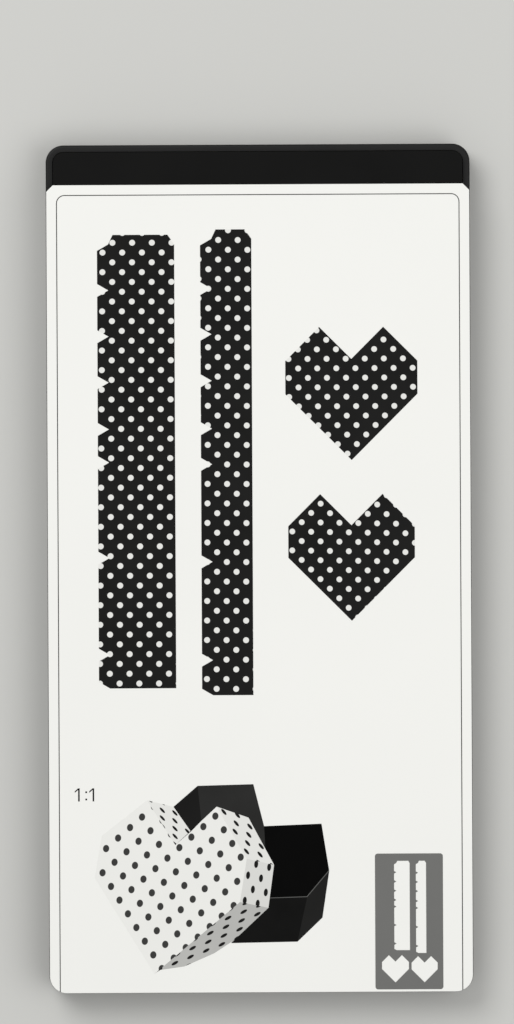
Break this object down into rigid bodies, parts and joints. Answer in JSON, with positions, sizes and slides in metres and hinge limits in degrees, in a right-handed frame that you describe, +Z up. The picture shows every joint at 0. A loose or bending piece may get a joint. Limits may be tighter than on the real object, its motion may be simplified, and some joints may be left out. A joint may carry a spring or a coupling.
{
  "type": "craft cutting die",
  "caption": "Flat steel rule die for card craft: bent blades and creasing rules seated in a slotted board, ringed by ejection foam in a moulded casing, with a printed shape card on its face.",
  "frame": {"origin": "middle of the die's underside, on the table", "axes": "+X to the right across the die, +Y along it towards its head, +Z up out of its cutting face"},
  "size_m": [0.1524, 0.3048, 0.0163],
  "materials": {
    "casing_plastic": "moulded satin black",
    "birch_board": "sanded plywood, laser cut",
    "ejection_foam": "fine closed-cell black foam",
    "rule_steel": "ground steel strip",
    "white_card": "smooth coated white card",
    "black_ink": "printed black with small white dots",
    "grey_ink": "printed grey",
    "pale_ink": "printed pale grey with small dark dots"
  },
  "bodies": {
    "root": {"base_casing": "casing_plastic", "core_board": "birch_board", "field_foam": "ejection_foam", "large_heart_cutting_rule": "rule_steel", "large_heart_foam": "ejection_foam", "narrow_strip_cross_crease_1": "rule_steel", "narrow_strip_cross_crease_2": "rule_steel", "narrow_strip_cross_crease_3": "rule_steel", "narrow_strip_cross_crease_4": "rule_steel", "narrow_strip_cross_crease_5": "rule_steel", "narrow_strip_cross_crease_6": "rule_steel", "narrow_strip_cross_crease_7": "rule_steel", "narrow_strip_cross_crease_8": "rule_steel", "narrow_strip_cutting_rule": "rule_steel", "narrow_strip_foam": "ejection_foam", "narrow_strip_tab_crease_1": "rule_steel", "narrow_strip_tab_crease_2": "rule_steel", "narrow_strip_tab_crease_3": "rule_steel", "narrow_strip_tab_crease_4": "rule_steel", "narrow_strip_tab_crease_5": "rule_steel", "narrow_strip_tab_crease_6": "rule_steel", "narrow_strip_tab_crease_7": "rule_steel", "narrow_strip_tab_crease_8": "rule_steel", "print_border_line": "grey_ink", "print_box_body": "black_ink", "print_box_lid": "pale_ink", "print_large_heart": "black_ink", "print_layout_diagram": "grey_ink", "print_narrow_strip": "black_ink", "print_small_heart": "black_ink", "print_wide_strip": "black_ink", "shape_card": "white_card", "small_heart_cutting_rule": "rule_steel", "small_heart_foam": "ejection_foam", "wide_strip_cross_crease_1": "rule_steel", "wide_strip_cross_crease_2": "rule_steel", "wide_strip_cross_crease_3": "rule_steel", "wide_strip_cross_crease_4": "rule_steel", "wide_strip_cross_crease_5": "rule_steel", "wide_strip_cross_crease_6": "rule_steel", "wide_strip_cross_crease_7": "rule_steel", "wide_strip_cross_crease_8": "rule_steel", "wide_strip_cutting_rule": "rule_steel", "wide_strip_foam": "ejection_foam", "wide_strip_tab_crease_1": "rule_steel", "wide_strip_tab_crease_2": "rule_steel", "wide_strip_tab_crease_3": "rule_steel", "wide_strip_tab_crease_4": "rule_steel", "wide_strip_tab_crease_5": "rule_steel", "wide_strip_tab_crease_6": "rule_steel", "wide_strip_tab_crease_7": "rule_steel", "wide_strip_tab_crease_8": "rule_steel"}
  },
  "joints": []
}
